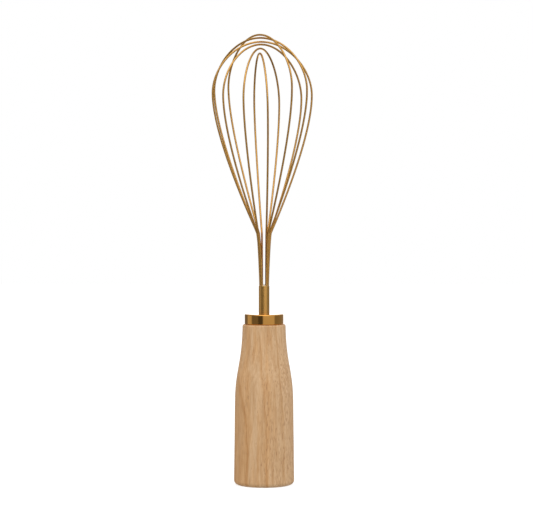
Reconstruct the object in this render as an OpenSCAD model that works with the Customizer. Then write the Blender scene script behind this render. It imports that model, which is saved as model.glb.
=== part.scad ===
// Balloon whisk: six nested wire loops, gathered in a metal tube that is
// bonded into a turned wooden handle and dressed with a metal collar.
// Millimetres, +Z up, origin at the centre of the flat foot the whisk stands on.

/* [Handle] */
// Height of the turned wood up to the seat of the collar
handle_h = 107.2; // [100:0.2:130]
// Diameter near the foot
foot_d = 40.3; // [38:0.1:44]
// Diameter where the body ends and the neck begins
shoulder_d = 39; // [34:0.2:40]
// Diameter at the top of the neck
neck_d = 28.8; // [28:0.2:32]
// Height at which the body ends and the neck begins
shoulder_z = 56.6; // [40:0.2:66]
// Share of the neck's length over which the top keeps its direction
neck_hold = 0.5; // [0.3:0.05:0.6]
// Share of the neck's length over which the shoulder keeps its direction
shoulder_hold = 0.4; // [0.2:0.05:0.5]
// Radius round the foot
foot_round = 3.1; // [1:0.1:5]
// Radius round the top edge of the wood
top_round = 1.2; // [0.3:0.1:1.3]

/* [Collar] */
// Outside diameter
collar_d = 26.1; // [24:0.1:26.4]
// Height
collar_h = 7; // [5:0.5:10]
// Thickness of its wall and of its top
collar_wall = 1; // [0.8:0.1:1.5]
// Radius of its outer edges
collar_round = 0.8; // [0.3:0.1:0.8]

/* [Wire tube] */
// Outside diameter
tube_d = 7.2; // [7.2:0.1:8]
// Thickness of its wall
tube_wall = 0.25; // [0.2:0.05:0.3]
// Length that shows above the collar
tube_shows = 18.7; // [12:0.1:30]
// Length bonded into the wood, below the collar
tube_grip = 28; // [20:1:40]

/* [Wire loops] */
// Diameter of the wire
wire_d = 1.3; // [0.9:0.05:1.3]
// Turn of the tallest loop about the upright axis, in degrees
first_turn = -53; // [-60:1:-46]
// Turn from one loop to the next, in degrees
turn_step = 30; // [28:0.5:31]
// Height of the tallest crown above the mouth of the tube
crown_h = 166.8; // [150:0.2:185]
// Drop from one crown to the next
crown_step = 2.4; // [2.2:0.1:3.5]
// Half of the tallest loop's width
bow_r = 36.5; // [28:0.1:42]
// Loss of half width from loop to loop, as a share of the drop of the crown
nesting = 0.62; // [0.2:0.01:0.8]
// Rise from a loop's widest level to its crown
crown_rise = 34.8; // [25:0.2:50]
// Height above the mouth at which the wires bend outwards
bend_h = 35.4; // [28:0.2:45]
// Angle of the wires just above that bend, from upright
flank_angle = 24.6; // [16:0.2:26]
// Sideways lean of the cage above that bend, per unit of height
cage_lean = -0.018; // [-0.03:0.002:0.03]

/* [Hidden] */

WOOD = "burlywood";
METAL = "goldenrod";
RESIN = "cornsilk";

// Running fit between parts that are assembled by hand
gap = 0.05;
// Overshoot of a cutting tool past a face
past = 1;

// Levels from the foot up
collar_top = handle_h + collar_h;
mouth_z = collar_top + tube_shows;
tube_foot = handle_h - tube_grip;

// Spigot of wood under the collar, and the bore for the tube
spigot_r = collar_d / 2 - collar_wall - gap;
spigot_h = collar_h - collar_wall - gap;
spigot_chamfer = 0.4;
bond = 0.2;
bore_r = tube_d / 2 + bond;
bore_foot = tube_foot - 1.5;
neck_flare = 1;

// The wires stand on a fan of places round each side of the tube's mouth, just
// clear of its wall. They rise, spread over the neck of the cage, to a wider
// fan at the bend.
wall_gap = 0.06;
mouth_r = tube_d / 2 - tube_wall - wire_d / 2 - wall_gap;
mouth_fan = 29.5;
bend_r = 4.6;
bend_fan = 23.5;
// The sixth loop has no room left on the fan and stands inside it
inner_mouth = [1.29, 0];
inner_bend = [1.5, -2.6];
// Depth of the wire ends and of the resin below the mouth, and the height of
// the resin's dome above it
wire_depth = 40;
resin_depth = 45;
dome_h = 0.9;
resin_sink = 0.3;

// How each loop was set by hand, the tallest first: [extra turn, extra height
// of the crown, sideways set of the bend, sideways set of the crown]
HAND_SET = [[-1.5, 0, -0.4, -1.7], [-6, 0.4, -0.6, -1.1], [4.5, 0.2, 0, 0.8],
    [0, 0.8, -0.2, 1.2], [0.5, 0.5, -0.7, 0.3], [2, -0.3, 0, -0.9]];
// Pulls of the curves that draw a loop, as shares of the span they act along
crown_pull = 0.545;
upper_waist_pull = 0.49;
lower_waist_pull = 0.245;
flank_pull = 0.31;
bend_pull = 0.05;
neck_pull = 0.12;

// Fineness: sides of a wire, and rings along its crown, flank and neck
wire_sides = 12;
crown_rings = 14;
flank_rings = 14;
neck_rings = 12;
// Steps of the arcs and curves of the turned parts
arc_steps = 8;
curve_steps = 32;
$fn = 96;

// --- Curves ---------------------------------------------------------------

// The point at share t along the cubic curve with control points p
function bezier(p, t) = pow(1 - t, 3) * p[0] + 3 * pow(1 - t, 2) * t * p[1]
    + 3 * (1 - t) * t * t * p[2] + pow(t, 3) * p[3];

// The curve in equal steps, without its last point
function curve(p, steps) = [for (i = [0 : steps - 1]) bezier(p, i / steps)];

// An arc in the plane from angle a to angle b
function arc(centre, r, a, b) = [for (i = [0 : arc_steps])
    let (angle = a + (b - a) * i / arc_steps)
    centre + r * [cos(angle), sin(angle)]];

function unit(v) = v / norm(v);

// A point at radius r and angle a round the upright axis, at height z
function around(r, a, z) = [r * cos(a), r * sin(a), z];

// --- Turned parts ---------------------------------------------------------

// Neck of the handle, from the shoulder up to the top edge
function neck_curve() = let (
    low = [shoulder_d / 2, shoulder_z],
    high = [neck_d / 2, handle_h - top_round],
    rise = high[1] - low[1],
    body_slope = (foot_d - shoulder_d) / 2 / (shoulder_z - foot_round))
    curve([low,
        low + shoulder_hold * rise * [-body_slope, 1],
        high + neck_hold * rise * [tan(neck_flare), -1],
        high], curve_steps);

module handle_outline() {
    foot = arc([foot_d / 2 - foot_round, foot_round], foot_round, -90, 0);
    top = arc([neck_d / 2 - top_round, handle_h - top_round], top_round, 0, 90);
    spigot_top = handle_h + spigot_h;
    polygon(concat([[0, 0]], foot, neck_curve(), top, [
        [spigot_r, handle_h],
        [spigot_r, spigot_top - spigot_chamfer],
        [spigot_r - spigot_chamfer, spigot_top],
        [0, spigot_top]]));
}

module handle() {
    color(WOOD)
    difference() {
        rotate_extrude()
            handle_outline();
        translate([0, 0, bore_foot])
            cylinder(r = bore_r, h = collar_top - bore_foot);
    }
}

// A cup turned upside down, with soft outer edges and a hole for the tube
module collar() {
    r = collar_d / 2;
    low = arc([r - collar_round, collar_round], collar_round, -90, 0);
    high = arc([r - collar_round, collar_h - collar_round], collar_round, 0, 90);
    color(METAL)
    translate([0, 0, handle_h])
    difference() {
        rotate_extrude()
            polygon(concat([[0, 0]], low, high, [[0, collar_h]]));
        translate([0, 0, -past])
            cylinder(r = r - collar_wall, h = collar_h - collar_wall + past);
        cylinder(r = tube_d / 2 + gap, h = collar_h + past);
    }
}

// The tube's mouth has a lip that is rounded over the wall's whole thickness
module wire_tube() {
    lip_r = tube_wall / 2;
    lip = arc([tube_d / 2 - lip_r, mouth_z - lip_r], lip_r, 0, 180);
    bore = tube_d / 2 - tube_wall;
    color(METAL)
    rotate_extrude()
        polygon(concat([[bore, tube_foot], [tube_d / 2, tube_foot]], lip));
}

// Adhesive that fills the bore of the handle round and under the tube
module bore_adhesive() {
    skin = 0.02;
    color(RESIN)
    difference() {
        translate([0, 0, bore_foot + skin])
            cylinder(r = bore_r - skin, h = handle_h + spigot_h - bore_foot - 2 * skin);
        translate([0, 0, tube_foot - skin])
            cylinder(r = tube_d / 2 + skin, h = handle_h);
    }
}

// Resin that fills the tube round the wires and stands up in a low dome
module resin_plug() {
    skin = 0.01;
    r = tube_d / 2 - tube_wall - 2 * skin;
    rise = dome_h + resin_sink;
    dome_r = (r * r + rise * rise) / (2 * rise);
    edge_angle = asin((dome_r - rise) / dome_r);
    color(RESIN)
    difference() {
        translate([0, 0, mouth_z])
            rotate_extrude()
                polygon(concat([[0, -resin_depth], [r, -resin_depth]],
                    arc([0, dome_h - dome_r], dome_r, edge_angle, 90)));
        for (i = [0 : len(HAND_SET) - 1], side = [1, -1])
            translate(side * [mouth_place(i)[0], mouth_place(i)[1], 0])
                translate([0, 0, mouth_z - wire_depth])
                    cylinder(r = wire_d / 2 + skin, h = wire_depth + dome_h + past, $fn = 32);
    }
}

// --- Wire loops -----------------------------------------------------------

// Order of the loops round the fan: 0 stands in its middle
function fan_index(i) = i - 2;
function on_fan(i) = abs(fan_index(i)) < 3;
function turn(i) = first_turn + i * turn_step + HAND_SET[i][0];
function crown(i) = crown_h - i * crown_step + HAND_SET[i][1];
function half_width(i) = bow_r - nesting * (crown(0) - crown(i));

// Where one end of loop i stands at the mouth, and where it bends outwards
function mouth_place(i) = on_fan(i)
    ? around(mouth_r, fan_index(i) * mouth_fan, dome_h)
    : [inner_mouth[0], inner_mouth[1], dome_h];
function bend_place(i) = on_fan(i)
    ? around(bend_r, fan_index(i) * bend_fan, bend_h)
    : [inner_bend[0], inner_bend[1], bend_h];
// The half that starts on the right of the fan rises to the side its turn
// points to. The sixth loop has turned past the fan and rises the other way.
function rise_turn(i) = on_fan(i) ? turn(i) : turn(i) - 180;

// Half of loop i, from its crown down to the mouth and on to its cut end
function half_loop(i) = let (
    out = around(1, rise_turn(i), 0),
    top = [0, 0, crown(i)],
    waist = around(half_width(i), rise_turn(i), crown(i) - crown_rise),
    bend = bend_place(i),
    mouth = mouth_place(i),
    upper = [0, 0, crown_rise],
    lower = [0, 0, waist[2] - bend_h],
    spread = unit([waist[0] - bend[0], waist[1] - bend[1], 0]),
    flank = [0, 0, 1] + tan(flank_angle) * spread,
    neck = bend - mouth)
    concat(
        curve([top, top + crown_pull * half_width(i) * out,
            waist + upper_waist_pull * upper, waist], crown_rings),
        curve([waist, waist - lower_waist_pull * lower,
            bend + flank_pull * lower[2] * flank, bend], flank_rings),
        curve([bend, bend - bend_pull * bend_h * flank,
            mouth + neck_pull * [0, 0, neck[2]], mouth], neck_rings),
        [mouth, [mouth[0], mouth[1], -wire_depth]]);

// Above the bend the cage leans as a whole. Each loop also has its own sideways
// set, which sweeps out over the neck and then changes evenly up to the crown.
function leaned(p, i) = let (
    rise = max(p[2] - bend_h, 0),
    sweep = pow(max(p[2] - rise, 0) / bend_h, 3),
    gain = (HAND_SET[i][3] - HAND_SET[i][2]) / (crown(i) - bend_h))
    p + [HAND_SET[i][2] * sweep + (cage_lean + gain) * rise, 0, mouth_z];

// The whole loop: one half reversed, then the same half turned by 180 degrees
function loop_path(i) = let (half = half_loop(i), n = len(half))
    [for (k = [n - 1 : -1 : 1]) leaned(half[k], i),
     for (k = [0 : n - 1]) leaned([-half[k][0], -half[k][1], half[k][2]], i)];

// A round wire along a path that stays square to the level direction "across"
module wire(path, across) {
    last = len(path) - 1;
    rings = [for (i = [0 : last])
        let (
            along = unit(path[min(i + 1, last)] - path[max(i - 1, 0)]),
            e1 = unit(cross(across, along)),
            e2 = cross(along, e1))
        for (k = [0 : wire_sides - 1])
            let (a = 360 * k / wire_sides)
            path[i] + wire_d / 2 * (cos(a) * e1 + sin(a) * e2)];
    sides = [for (i = [0 : last - 1], k = [0 : wire_sides - 1])
        let (a = i * wire_sides, next = (k + 1) % wire_sides)
        [a + k, a + wire_sides + k, a + wire_sides + next, a + next]];
    first_cut = [for (k = [0 : wire_sides - 1]) k];
    last_cut = [for (k = [wire_sides - 1 : -1 : 0]) last * wire_sides + k];
    polyhedron(rings, concat(sides, [first_cut, last_cut]), convexity = 6);
}

module wire_loop(i) {
    color(METAL)
        wire(loop_path(i), around(1, turn(i) + 90, 0));
}

handle();
collar();
wire_tube();
bore_adhesive();
resin_plug();
wire_loop(0);  // wire_loop_1
wire_loop(1);  // wire_loop_2
wire_loop(2);  // wire_loop_3
wire_loop(3);  // wire_loop_4
wire_loop(4);  // wire_loop_5
wire_loop(5);  // wire_loop_6
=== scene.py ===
import math

import bpy
import numpy as np
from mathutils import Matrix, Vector, noise


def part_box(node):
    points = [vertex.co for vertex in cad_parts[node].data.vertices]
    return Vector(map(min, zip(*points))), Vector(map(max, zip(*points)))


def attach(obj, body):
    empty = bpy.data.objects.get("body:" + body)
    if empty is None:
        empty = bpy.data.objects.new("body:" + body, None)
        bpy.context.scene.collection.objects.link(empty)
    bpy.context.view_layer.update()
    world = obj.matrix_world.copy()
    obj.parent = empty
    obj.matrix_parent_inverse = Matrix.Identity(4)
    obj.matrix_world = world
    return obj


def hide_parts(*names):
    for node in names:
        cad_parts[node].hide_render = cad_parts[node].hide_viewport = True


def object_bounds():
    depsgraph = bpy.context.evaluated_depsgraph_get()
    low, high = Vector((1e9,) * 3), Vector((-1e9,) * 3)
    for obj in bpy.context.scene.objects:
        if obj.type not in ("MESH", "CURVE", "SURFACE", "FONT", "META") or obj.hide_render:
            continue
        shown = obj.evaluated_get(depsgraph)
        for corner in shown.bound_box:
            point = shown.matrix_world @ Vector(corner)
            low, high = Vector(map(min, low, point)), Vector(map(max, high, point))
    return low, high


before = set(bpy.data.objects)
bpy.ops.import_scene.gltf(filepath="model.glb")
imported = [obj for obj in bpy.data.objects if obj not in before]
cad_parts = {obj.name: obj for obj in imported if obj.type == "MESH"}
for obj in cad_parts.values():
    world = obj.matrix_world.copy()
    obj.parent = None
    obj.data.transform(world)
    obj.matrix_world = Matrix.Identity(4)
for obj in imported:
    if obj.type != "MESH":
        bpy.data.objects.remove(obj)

cad_low, cad_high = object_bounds()

MM = 0.001
BODY = "root"
WIRE_NODES = [f"wire_loop_{i}" for i in range(1, 7)]

# Growth rings of the wood: distance between two lines, where the first stands, their lean
# per unit of height and the size of their waves
RING_STEP = 12.6 * MM
RING_START = -3.4 * MM
RING_LEAN = 0.059
RING_WAVE = 7 * MM
# Width over which the wood changes by one full tone from its left side to its right
SIDE_CHANGE = 90 * MM

# CAD vertices closer than this in radius or height are taken to be at the same one
CLOSE = 0.01 * MM
# CAD vertices are merged into one when they fall in the same cell of this size
MERGE_CELL = 0.002 * MM

# Fineness of the turned pieces round their axis, and of a wire round its centre line
HANDLE_SIDES, COLLAR_SIDES, TUBE_SIDES, WIRE_SIDES = 256, 224, 128, 24
# The longest straight stretch that a curve is drawn through, for the handle and the wires
HANDLE_STRETCH, WIRE_STRETCH = 1.5 * MM, 8 * MM

# Turning marks of the handle: spacing and depth of the tool's fine lines, and of the slow
# unevenness left by hand sanding
LINE_SPACING, LINE_DEPTH = 1.3 * MM, 0.006 * MM
SANDING_SPACING, SANDING_DEPTH = 18 * MM, 0.045 * MM
# Room between the bottom of the bore and the adhesive
BORE_ROOM = 0.02 * MM

# Softened edge of the collar's hole, and the bevel at the foot of the tube
HOLE_EDGE = 0.15 * MM
TUBE_BEVEL = 0.1 * MM

# The filler: how far its rim lies below the tube's mouth and its middle below the CAD dome,
# how high and how far it climbs at each wire, and its small lumps
RIM_DROP, DOME_DROP = 0.35 * MM, 0.05 * MM
CLIMB_HEIGHT, CLIMB_REACH = 0.22 * MM, 0.18 * MM
LUMP_SPACING, LUMP_HEIGHT = 0.7 * MM, 0.05 * MM


# --- Mesh tools -----------------------------------------------------------

def make_piece(name, points, faces, replaced, sharp_angle=35.0):
    """A closed, smooth-shaded mesh that rides on the body and stands for a CAD node."""
    mesh = bpy.data.meshes.new(name)
    mesh.from_pydata([tuple(p) for p in points], [], faces)
    mesh.validate()
    mesh.shade_smooth()
    mesh.set_sharp_from_angle(angle=math.radians(sharp_angle))
    piece = bpy.data.objects.new(name, mesh)
    bpy.context.scene.collection.objects.link(piece)
    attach(piece, BODY)
    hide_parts(replaced)
    return piece


def arc(centre, radius, start, end, steps):
    """Points of an arc in the (radius, height) plane; angles are in degrees."""
    turns = [math.radians(start + (end - start) * i / steps) for i in range(steps + 1)]
    return [(centre[0] + radius * math.cos(a), centre[1] + radius * math.sin(a)) for a in turns]


def lathe(outline, segments, shift=None):
    """Turns an outline of (radius, height) points round the Z axis into points and faces.

    An outline that starts and ends on the axis is closed by its two poles, and any other
    outline is a closed ring. shift(angle, radius, height) returns an added radius.
    """
    on_axis = outline[0][0] == 0
    rims = outline[1:-1] if on_axis else outline
    points = []
    for r, z in rims:
        for k in range(segments):
            a = 2 * math.pi * k / segments
            rr = r + (shift(a, r, z) if shift else 0.0)
            points.append((rr * math.cos(a), rr * math.sin(a), z))
    faces = []
    count = len(rims)
    for i in range(count - 1 if on_axis else count):
        a = i * segments
        b = (i + 1) % count * segments
        for k in range(segments):
            n = (k + 1) % segments
            faces.append((a + k, a + n, b + n, b + k))
    if on_axis:
        last = (count - 1) * segments
        points += [(0, 0, outline[0][1]), (0, 0, outline[-1][1])]
        first_pole, last_pole = len(points) - 2, len(points) - 1
        for k in range(segments):
            n = (k + 1) % segments
            faces.append((first_pole, n, k))
            faces.append((last_pole, last + k, last + n))
    return points, faces


def split_long(points, longest):
    """Adds points along every straight stretch that is longer than the given length."""
    out = [points[0]]
    for p, q in zip(points, points[1:]):
        parts = max(1, math.ceil(math.dist(p, q) / longest))
        out += [tuple(np.array(p) + (np.array(q) - np.array(p)) * i / parts) for i in range(1, parts + 1)]
    return out


def smooth_path(points, steps):
    """A Catmull-Rom curve through the points, with that many steps between each pair."""
    p = np.array(points, float)
    p = np.vstack([2 * p[0] - p[1], p, 2 * p[-1] - p[-2]])
    out = []
    for a, b, c, d in zip(p, p[1:], p[2:], p[3:]):
        for t in np.arange(steps) / steps:
            out.append(0.5 * (2 * b + (c - a) * t + (2 * a - 5 * b + 4 * c - d) * t ** 2
                              + (3 * b - a - 3 * c + d) * t ** 3))
    out.append(p[-2])
    return np.array(out)


def node_points(node):
    """The vertices of a CAD node as an array, in metres."""
    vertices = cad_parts[node].data.vertices
    return np.array([v.co for v in vertices], float)


def node_profile(node):
    """The (radius, height) of every vertex of a turned CAD node."""
    return [(math.hypot(x, y), z) for x, y, z in node_points(node)]


def bore_radius(node):
    """The smallest radius of a turned CAD node, leaving out vertices on its axis."""
    return min(r for r, _ in node_profile(node) if r > 1 * MM)


def outer_outline(node):
    """The widest radius of a turned CAD node at each level outside its bore, from the foot up."""
    bore_r = bore_radius(node)
    widest = {}
    for r, z in node_profile(node):
        if r > bore_r + 0.1 * MM:
            level = round(z, 6)
            widest[level] = max(widest.get(level, 0.0), r)
    return [(widest[z], z) for z in sorted(widest)]


# --- Shader tools ---------------------------------------------------------

def add(tree, kind, inputs=None, **settings):
    """A shader node with its settings and inputs; an input is a value or another node's socket."""
    node = tree.nodes.new(kind)
    for key, value in settings.items():
        setattr(node, key, value)
    for key, value in (inputs or {}).items():
        if isinstance(value, bpy.types.NodeSocket):
            tree.links.new(value, node.inputs[key])
        else:
            node.inputs[key].default_value = value
    return node


def calc(tree, operation, a, b=0.0, clamp=False):
    return add(tree, "ShaderNodeMath", {0: a, 1: b}, operation=operation, use_clamp=clamp).outputs[0]


def noise_at(tree, place, period, detail=2.0, roughness=0.5):
    """Noise whose features are about period (x, y, z) metres apart."""
    scaled = add(tree, "ShaderNodeVectorMath", {0: place, 1: tuple(1 / p for p in period)},
                 operation="MULTIPLY").outputs[0]
    return add(tree, "ShaderNodeTexNoise",
               {"Vector": scaled, "Scale": 1.0, "Detail": detail,
                "Roughness": roughness}).outputs["Fac"]


def ramp(tree, value, stops, smooth=True):
    """A colour ramp. Each stop is (position, colour) with a linear RGB colour or a grey."""
    node = add(tree, "ShaderNodeValToRGB", {"Fac": value})
    node.color_ramp.interpolation = "EASE" if smooth else "LINEAR"
    elements = node.color_ramp.elements
    while len(elements) < len(stops):
        elements.new(0.5)
    for element, (position, colour) in zip(elements, stops):
        element.position = position
        rgb = (colour,) * 3 if isinstance(colour, (int, float)) else colour
        element.color = (*rgb, 1.0)
    return node.outputs["Color"]


def blend(tree, share, low, high, kind="MIX"):
    """Mixes two colours; share 0 gives low and 1 gives high."""
    node = add(tree, "ShaderNodeMix", data_type="RGBA", blend_type=kind)
    for socket, value in ((node.inputs[0], share), (node.inputs[6], low), (node.inputs[7], high)):
        if isinstance(value, bpy.types.NodeSocket):
            tree.links.new(value, socket)
        else:
            socket.default_value = value if isinstance(value, float) else (*value, 1.0)
    return node.outputs[2]


def new_material(name):
    """A material with a Principled shader, its tree and the position of the shaded point."""
    material = bpy.data.materials.new(name)
    material.use_nodes = True
    tree = material.node_tree
    place = add(tree, "ShaderNodeTexCoord").outputs["Object"]
    return material, tree, tree.nodes["Principled BSDF"], place


def bump(tree, height, depth, normal=None):
    """A bump of that many metres for a height that runs from 0 to 1."""
    inputs = {"Height": height, "Distance": depth, "Strength": 1.0}
    if normal is not None:
        inputs["Normal"] = normal
    return add(tree, "ShaderNodeBump", inputs).outputs["Normal"]


# --- Materials ------------------------------------------------------------

def gold(name, colour, edge, roughness, grain, depth, lacquer):
    """Plated metal under clear lacquer.

    edge tints it at grazing angles, grain is the (x, y, z) period of its fine marks, depth is
    their depth, and lacquer is the strength of the lacquer's own sheen.
    """
    material, tree, shader, place = new_material(name)
    cloud = noise_at(tree, place, (9 * MM,) * 3, detail=3.0)
    marks = noise_at(tree, place, grain, detail=2.0)
    tone = blend(tree, cloud, tuple(c * 0.92 for c in colour), tuple(c * 1.08 for c in colour))
    worn = calc(tree, "MULTIPLY", calc(tree, "SUBTRACT", marks, 0.5), 0.3 * roughness)
    tree.links.new(tone, shader.inputs["Base Color"])
    shader.inputs["Metallic"].default_value = 1.0
    shader.inputs["Specular Tint"].default_value = (*edge, 1.0)
    tree.links.new(calc(tree, "ADD", worn, roughness, clamp=True), shader.inputs["Roughness"])
    tree.links.new(bump(tree, marks, depth), shader.inputs["Normal"])
    shader.inputs["Coat Weight"].default_value = lacquer
    shader.inputs["Coat Roughness"].default_value = 0.5 * roughness
    return material


def wood():
    """Pale, open-pored wood whose growth rings run up the front of the handle as slightly wavy lines."""
    material, tree, shader, place = new_material("oiled_wood")
    lightest, pore_colour = (0.7, 0.475, 0.278), (0.38, 0.2, 0.095)
    # Tones as shares of the lightest colour
    plain, dark, orange = (0.94, 0.92, 0.89), (0.86, 0.79, 0.71), (0.98, 0.88, 0.74)
    late_wood = (0.84, 0.75, 0.63)

    # Growth rings: a thin dark line with a pale band on its right, leaning a little and wavy
    course = add(tree, "ShaderNodeVectorMath", {0: place, 1: (1.0, 0.2, RING_LEAN)},
                 operation="DOT_PRODUCT").outputs["Value"]
    wave = noise_at(tree, place, (30 * MM, 30 * MM, 34 * MM), detail=3.0)
    course = calc(tree, "ADD", course, calc(tree, "MULTIPLY", wave, RING_WAVE))
    ring = calc(tree, "FRACT", calc(tree, "DIVIDE", calc(tree, "ADD", course, RING_START), RING_STEP))
    figure = ramp(tree, ring, [(0.0, 1.0), (0.16, 1.0), (0.42, plain), (0.86, plain),
                               (0.95, late_wood), (1.0, 1.0)])
    fading = noise_at(tree, place, (9 * MM, 9 * MM, 26 * MM), detail=1.0)
    body = blend(tree, ramp(tree, fading, [(0.38, 0.25), (0.58, 1.0)]), lightest, figure, "MULTIPLY")

    # Orange patches, most of them towards the left side
    side = add(tree, "ShaderNodeSeparateXYZ", {0: place}).outputs["X"]
    drift = noise_at(tree, place, (5 * MM, 5 * MM, 55 * MM), detail=2.0)
    warmth = calc(tree, "ADD", calc(tree, "MULTIPLY", side, -1 / SIDE_CHANGE), drift)
    warm = ramp(tree, warmth, [(0.4, 1.0), (0.72, orange)])
    body = blend(tree, 1.0, body, warm, "MULTIPLY")

    # Streaks and fibres along the trunk
    streak = noise_at(tree, place, (2.2 * MM, 2.2 * MM, 45 * MM), detail=3.0, roughness=0.6)
    fibre = noise_at(tree, place, (0.7 * MM, 0.7 * MM, 7 * MM), detail=3.0, roughness=0.65)
    body = blend(tree, 1.0, body, ramp(tree, streak, [(0.36, dark), (0.48, plain), (0.62, 1.0)]), "MULTIPLY")
    body = blend(tree, 1.0, body, ramp(tree, fibre, [(0.3, dark), (0.7, 1.0)]), "MULTIPLY")

    # Pores: short thin dark dashes, most of them towards the right side
    pits = noise_at(tree, place, (0.45 * MM, 0.45 * MM, 3.4 * MM), detail=0.0)
    crowd = noise_at(tree, place, (8 * MM, 8 * MM, 40 * MM), detail=1.0)
    crowd = calc(tree, "ADD", crowd, calc(tree, "MULTIPLY", side, 1 / SIDE_CHANGE))
    open_here = ramp(tree, calc(tree, "ADD", calc(tree, "MULTIPLY", crowd, 0.45), pits),
                     [(0.93, 0.0), (1.0, 1.0)])
    colour = blend(tree, calc(tree, "MULTIPLY", open_here, 0.7), body, pore_colour)
    tree.links.new(colour, shader.inputs["Base Color"])

    shader.inputs["IOR"].default_value = 1.42
    shader.inputs["Specular IOR Level"].default_value = 0.35
    rough = calc(tree, "ADD", calc(tree, "MULTIPLY", open_here, 0.25), 0.5)
    tree.links.new(rough, shader.inputs["Roughness"])
    grain = bump(tree, calc(tree, "SUBTRACT", 1.0, open_here), 0.025 * MM)
    tree.links.new(bump(tree, fibre, 0.012 * MM, grain), shader.inputs["Normal"])
    return material


def resin(name, colour, cloudy):
    """Cured filler, slightly see-through, with bubbles and a cloudy tone."""
    material, tree, shader, place = new_material(name)
    cloud = noise_at(tree, place, (1.6 * MM,) * 3, detail=3.0)
    bubbles = noise_at(tree, place, (0.3 * MM,) * 3, detail=1.0)
    tone = blend(tree, cloud, tuple(c * (1 - cloudy) for c in colour), colour)
    tree.links.new(tone, shader.inputs["Base Color"])
    shader.inputs["Roughness"].default_value = 0.3
    shader.inputs["Subsurface Weight"].default_value = 0.2
    shader.inputs["Subsurface Scale"].default_value = 1 * MM
    tree.links.new(bump(tree, bubbles, 0.02 * MM), shader.inputs["Normal"])
    return material


# --- Pieces ---------------------------------------------------------------

def build_handle():
    """Turned wood: the CAD outline made fine, with its spigot, its blind bore and faint turning marks."""
    bore_r = bore_radius("handle")
    outer = outer_outline("handle")
    spigot_r = outer[-2][0]
    seat = max(i for i, (r, _) in enumerate(outer) if r > spigot_r + 0.5 * MM)
    body, spigot = outer[:seat + 1], outer[seat + 1:]
    seat_z, top_z = body[-1][1], spigot[-1][1]
    bore_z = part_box("bore_adhesive")[0].z - BORE_ROOM
    fine = smooth_path(split_long(body, HANDLE_STRETCH), 3)
    outline = [(0.0, cad_low.z)] + [tuple(p) for p in fine]
    outline += [(spigot_r, seat_z)] + spigot
    outline += [(bore_r, top_z), (bore_r, bore_z), (0.0, bore_z)]

    def turning(angle, r, z):
        if r < body[0][0] or z >= seat_z:
            return 0.0
        lines = noise.noise(Vector((0.0, 0.0, z / LINE_SPACING))) * LINE_DEPTH
        around = (math.cos(angle), math.sin(angle), z / SANDING_SPACING)
        return lines + noise.noise(Vector(around)) * SANDING_DEPTH

    points, faces = lathe(outline, HANDLE_SIDES, turning)
    piece = make_piece("handle_turned", points, faces, "handle")
    piece.data.materials.append(wood())


def build_collar(material):
    """The cap: rounded outer edges, a softened hole for the tube, and a hollow that takes the spigot."""
    low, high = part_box("collar")
    profile = node_profile("collar")
    r = high.x
    edge = r - outer_outline("collar")[0][0]
    hollow_r = min(radius for radius, z in profile if z < low.z + CLOSE)
    hollow_z = max(z for radius, z in profile if abs(radius - hollow_r) < CLOSE)
    hole_r = bore_radius("collar")
    outline = arc((r - edge, low.z + edge), edge, -90, 0, 14)
    outline += arc((r - edge, high.z - edge), edge, 0, 90, 14)
    outline += arc((hole_r + HOLE_EDGE, high.z - HOLE_EDGE), HOLE_EDGE, 90, 180, 5)
    outline += [(hole_r, hollow_z), (hollow_r, hollow_z), (hollow_r, low.z)]
    points, faces = lathe(outline, COLLAR_SIDES)
    piece = make_piece("collar_cap", points, faces, "collar")
    piece.data.materials.append(material)


def build_tube(material):
    """The tube, with a rolled lip at its mouth and a deburred foot."""
    low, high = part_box("wire_tube")
    r = high.x
    wall = r - bore_radius("wire_tube")
    outline = [(r - wall, low.z), (r - TUBE_BEVEL, low.z), (r, low.z + TUBE_BEVEL)]
    outline += arc((r - wall / 2, high.z - wall / 2), wall / 2, 0, 180, 10)
    points, faces = lathe(outline, TUBE_SIDES)
    piece = make_piece("tube_body", points, faces, "wire_tube")
    piece.data.materials.append(material)


def wire_path(node):
    """The centre line and radius of a wire, found by walking its CAD mesh ring by ring."""
    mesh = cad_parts[node].data
    ids, places, own = {}, [], []
    for v in mesh.vertices:
        key = tuple(round(c / MERGE_CELL) for c in v.co)
        if key not in ids:
            ids[key] = len(places)
            places.append(np.array(v.co))
        own.append(ids[key])
    near = [set() for _ in places]
    for edge in mesh.edges:
        a, b = (own[i] for i in edge.vertices)
        near[a].add(b)
        near[b].add(a)
    floor_z = min(p[2] for p in places) + CLOSE
    ring = {i for i, p in enumerate(places) if p[2] < floor_z and p[0] > 0}
    seen, centres = set(ring), []
    while ring:
        centre = np.mean([places[i] for i in ring], axis=0)
        radius = float(np.mean([np.linalg.norm(places[i] - centre) for i in ring]))
        centres.append(tuple(centre))
        ring = {n for i in ring for n in near[i]} - seen
        seen |= ring
    return centres, radius


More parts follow.
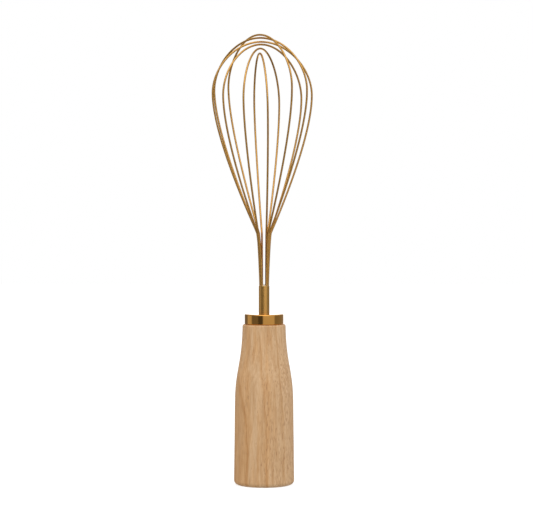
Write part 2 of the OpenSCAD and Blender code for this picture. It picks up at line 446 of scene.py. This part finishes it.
def build_wire(node, material):
    """A round wire along the CAD wire's centre line, cut square at both ends."""
    centres, radius = wire_path(node)
    path = smooth_path(split_long(centres, WIRE_STRETCH), 4)
    along = np.gradient(path, axis=0)
    along /= np.linalg.norm(along, axis=1)[:, None]
    side = np.cross(along[0], (0.0, 1.0, 0.0))
    points = []
    for centre, t in zip(path, along):
        side = side - t * (side @ t)
        side /= np.linalg.norm(side)
        other = np.cross(t, side)
        for k in range(WIRE_SIDES):
            a = 2 * math.pi * k / WIRE_SIDES
            points.append(centre + radius * (math.cos(a) * side + math.sin(a) * other))
    faces = []
    for i in range(len(path) - 1):
        for k in range(WIRE_SIDES):
            n = (k + 1) % WIRE_SIDES
            a, b = i * WIRE_SIDES, (i + 1) * WIRE_SIDES
            faces.append((a + k, a + n, b + n, b + k))
    last = (len(path) - 1) * WIRE_SIDES
    faces.append(tuple(range(WIRE_SIDES))[::-1])
    faces.append(tuple(last + k for k in range(WIRE_SIDES)))
    name = node.replace("wire_loop", "wire") + "_round"
    piece = make_piece(name, points, faces, node)
    piece.data.materials.append(material)


def build_resin(material):
    """The filler: a cloudy plug with a low dome that climbs a little where it meets each wire."""
    low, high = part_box("resin_plug")
    mouth_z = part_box("wire_tube")[1].z
    r = high.x
    dome_h = high.z - mouth_z
    stands = []
    for node in WIRE_NODES:
        centres, wire_r = wire_path(node)
        stands += [centres[0][:2], centres[-1][:2]]

    def surface(x, y):
        share = math.hypot(x, y) / r
        height = mouth_z - RIM_DROP + (dome_h - DOME_DROP + RIM_DROP) * (1 - share ** 2)
        for sx, sy in stands:
            gap = max(math.hypot(x - sx, y - sy) - wire_r, 0.0)
            height += CLIMB_HEIGHT * math.exp(-gap / CLIMB_REACH)
        return height + LUMP_HEIGHT * noise.noise(Vector((x, y, 0.0)) / LUMP_SPACING)

    rims, segments = 28, 96
    points = [(0.0, 0.0, surface(0.0, 0.0))]
    for i in range(1, rims + 1):
        for k in range(segments):
            a = 2 * math.pi * k / segments
            x, y = r * i / rims * math.cos(a), r * i / rims * math.sin(a)
            points.append((x, y, min(surface(x, y), high.z)))
    for k in range(segments):
        a = 2 * math.pi * k / segments
        points.append((r * math.cos(a), r * math.sin(a), low.z))
    points.append((0.0, 0.0, low.z))
    faces = []
    for k in range(segments):
        n = (k + 1) % segments
        faces.append((0, 1 + k, 1 + n))
        for i in range(rims):
            a = 1 + i * segments
            b = a + segments
            faces.append((a + k, b + k, b + n, a + n))
        last = 1 + rims * segments
        faces.append((last + n, last + k, len(points) - 1))
    piece = make_piece("resin_dome", points, faces, "resin_plug", 50.0)
    piece.data.materials.append(material)


# --- Studio ---------------------------------------------------------------

# Brightness of the studio as the metal sees it, by direction: 0 degrees is the camera's side
# and 90 is to the right. At the height of the whisk a large soft box stands front right, a
# narrow one on the left, and the white backdrop is behind.
LEVEL_BAND = [(-180, 1.7), (-171, 1.5), (-165, 0.22), (-118, 0.18), (-110, 0.56), (-82, 0.54),
              (-75, 0.17), (-38, 0.18), (-33, 0.08), (-10, 0.08), (-3, 0.56), (60, 0.56), (69, 0.22),
              (158, 0.3), (167, 1.7), (180, 1.7)]
# Over them the room gets darker, except front right
UPPER_BAND = [(-180, 0.5), (-130, 0.3), (-80, 0.1), (-40, 0.2), (-5, 0.6), (30, 1.1), (60, 1.0),
              (100, 0.35), (130, 0.3), (180, 0.5)]
# The brightest soft box hangs above the camera
TOP_BAND = [(-180, 0.6), (-75, 0.6), (-50, 1.6), (20, 1.8), (65, 0.6), (180, 0.6)]
ZENITH = (1.0, 1.0, 1.0)
# Heights at which each of these begins and is alone, in degrees above the horizon
UPPER_RISE, TOP_RISE, ZENITH_RISE = (8, 20), (25, 35), (72, 85)
# How much of the level band is left at each height below the horizon
GROUND_FADE = [(-90, 0.4), (-65, 0.4), (-35, 1.0)]
WHITE = (1.0, 1.0, 1.0, 1.0)
# Brightness of the even light that surfaces get from all sides, apart from mirror reflections
EVEN_LIGHT = 0.98

# The floor: half its width and its grey, the glow that the camera sees added to that grey, and
# the glow with which it lights the whisk from below
FLOOR_HALF = 3.0
FLOOR_GREY, FLOOR_GLOW, FLOOR_LIGHT = 0.5, 0.68, 0.52

# Place in metres and power in watts of the two lights, and the width of both
KEY_PLACE, KEY_POWER = (0.9, -1.3, 1.2), 9.0
FILL_PLACE, FILL_POWER = (-1.2, -0.9, 0.7), 3.0
LIGHT_WIDTH = 1.2

# The camera: its place, its downward tilt in degrees, and its lens and sensor in millimetres
CAMERA_PLACE = (1.6 * MM, -1290 * MM, 190.7 * MM)
CAMERA_TILT = 1.98
LENS, SENSOR = 130.7, 36.0


def build_world():
    """White for the camera, even light for surfaces, and a soft-box studio in reflections."""
    world = bpy.data.worlds.new("studio")
    bpy.context.scene.world = world
    # The world is looked up only by rays that reach it, so each kind sees its own version
    world.cycles.sampling_method = "NONE"
    world.use_nodes = True
    tree = world.node_tree
    tree.nodes.clear()
    direction = add(tree, "ShaderNodeTexCoord").outputs["Generated"]
    parts = add(tree, "ShaderNodeSeparateXYZ", {0: direction})
    away = calc(tree, "MULTIPLY", parts.outputs["Y"], -1.0)
    turn = calc(tree, "ARCTAN2", parts.outputs["X"], away)
    turn = calc(tree, "ADD", calc(tree, "DIVIDE", turn, 2 * math.pi), 0.5)
    rise = calc(tree, "ARCSINE", parts.outputs["Z"])
    rise = calc(tree, "ADD", calc(tree, "DIVIDE", rise, math.pi), 0.5)

    def by_turn(stops):
        return ramp(tree, turn, [((degrees + 180) / 360, level) for degrees, level in stops], smooth=False)

    def by_rise(stops):
        return ramp(tree, rise, [((degrees + 90) / 180, level) for degrees, level in stops], smooth=False)

    sky = add(tree, "ShaderNodeVectorMath", {0: by_turn(LEVEL_BAND), 1: by_rise(GROUND_FADE)},
              operation="MULTIPLY").outputs[0]
    above = [(UPPER_RISE, by_turn(UPPER_BAND)), (TOP_RISE, by_turn(TOP_BAND)), (ZENITH_RISE, ZENITH)]
    for (begins, alone), band in above:
        sky = blend(tree, by_rise([(begins, 0.0), (alone, 1.0)]), sky, band)
    reflected = add(tree, "ShaderNodeBackground", {"Color": sky, "Strength": 1.0})
    even = add(tree, "ShaderNodeBackground", {"Color": WHITE, "Strength": EVEN_LIGHT})
    seen = add(tree, "ShaderNodeBackground", {"Color": WHITE, "Strength": 1.0})
    rays = add(tree, "ShaderNodeLightPath")
    lit = add(tree, "ShaderNodeMixShader",
              {0: rays.outputs["Is Glossy Ray"], 1: even.outputs[0], 2: reflected.outputs[0]})
    out = add(tree, "ShaderNodeMixShader",
              {0: rays.outputs["Is Camera Ray"], 1: lit.outputs[0], 2: seen.outputs[0]})
    add(tree, "ShaderNodeOutputWorld", {"Surface": out.outputs[0]})


def build_floor():
    """A pale floor, lit so evenly that only a faint contact shadow shows. Metal doesn't mirror it."""
    mesh = bpy.data.meshes.new("floor")
    corners = [(-FLOOR_HALF, -FLOOR_HALF), (FLOOR_HALF, -FLOOR_HALF),
               (FLOOR_HALF, FLOOR_HALF), (-FLOOR_HALF, FLOOR_HALF)]
    mesh.from_pydata([(x, y, cad_low.z) for x, y in corners], [], [(0, 1, 2, 3)])
    floor = bpy.data.objects.new("floor", mesh)
    bpy.context.scene.collection.objects.link(floor)
    floor.visible_glossy = False
    material = bpy.data.materials.new("pale_floor")
    material.use_nodes = True
    tree = material.node_tree
    tree.nodes.clear()
    paint = add(tree, "ShaderNodeBsdfDiffuse", {"Color": (FLOOR_GREY, FLOOR_GREY, FLOOR_GREY, 1.0)})
    glow = add(tree, "ShaderNodeEmission", {"Color": WHITE, "Strength": FLOOR_GLOW})
    pale = add(tree, "ShaderNodeAddShader", {0: paint.outputs[0], 1: glow.outputs[0]})
    light = add(tree, "ShaderNodeEmission", {"Color": WHITE, "Strength": FLOOR_LIGHT})
    rays = add(tree, "ShaderNodeLightPath")
    out = add(tree, "ShaderNodeMixShader",
              {0: rays.outputs["Is Camera Ray"], 1: light.outputs[0], 2: pale.outputs[0]})
    add(tree, "ShaderNodeOutputMaterial", {"Surface": out.outputs[0]})
    floor.data.materials.append(material)


def build_light(name, place, aim, power):
    """A soft area light that shapes the wood but isn't mirrored in the metal."""
    data = bpy.data.lights.new(name, "AREA")
    data.shape = "SQUARE"
    data.size = LIGHT_WIDTH
    data.energy = power
    lamp = bpy.data.objects.new(name, data)
    lamp.location = place
    lamp.rotation_mode = "QUATERNION"
    lamp.rotation_quaternion = (Vector(aim) - Vector(place)).to_track_quat("-Z", "Y")
    lamp.visible_glossy = False
    lamp.visible_camera = False
    bpy.context.scene.collection.objects.link(lamp)


def build_camera():
    """A long lens in front of the whisk, level with the lower half of its cage and tilted slightly down."""
    data = bpy.data.cameras.new("camera")
    data.sensor_width = SENSOR
    data.lens = LENS
    camera = bpy.data.objects.new("camera", data)
    camera.location = CAMERA_PLACE
    camera.rotation_euler = (math.radians(90 - CAMERA_TILT), 0.0, 0.0)
    bpy.context.scene.collection.objects.link(camera)
    bpy.context.scene.camera = camera


# --- The scene ------------------------------------------------------------

POLISHED = gold("polished_gold", (0.8, 0.39, 0.08), edge=(1.0, 1.0, 0.95), roughness=0.09,
                grain=(1.2 * MM, 1.2 * MM, 0.6 * MM), depth=0.0006 * MM, lacquer=0.45)
SATIN = gold("satin_gold_tube", (0.76, 0.41, 0.1), edge=(1.0, 0.9, 0.65), roughness=0.36,
             grain=(0.4 * MM, 0.4 * MM, 4 * MM), depth=0.001 * MM, lacquer=0.5)
WIRE = gold("satin_gold_wire", (0.76, 0.42, 0.112), edge=(1.0, 0.88, 0.58), roughness=0.4,
            grain=(0.9 * MM, 0.9 * MM, 0.9 * MM), depth=0.001 * MM, lacquer=0.2)

build_handle()
build_collar(POLISHED)
build_tube(SATIN)
for wire_node in WIRE_NODES:
    build_wire(wire_node, WIRE)
build_resin(resin("cured_resin", (0.86, 0.76, 0.52), 0.25))
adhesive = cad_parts["bore_adhesive"]
adhesive.data.materials.clear()
adhesive.data.materials.append(resin("cured_adhesive", (0.8, 0.7, 0.45), 0.3))

build_world()
build_floor()
centre = (cad_low + cad_high) / 2
build_light("key", KEY_PLACE, centre, KEY_POWER)
build_light("fill", FILL_PLACE, centre, FILL_POWER)
build_camera()

view = bpy.context.scene.view_settings
view.view_transform = "Standard"
view.look = "None"
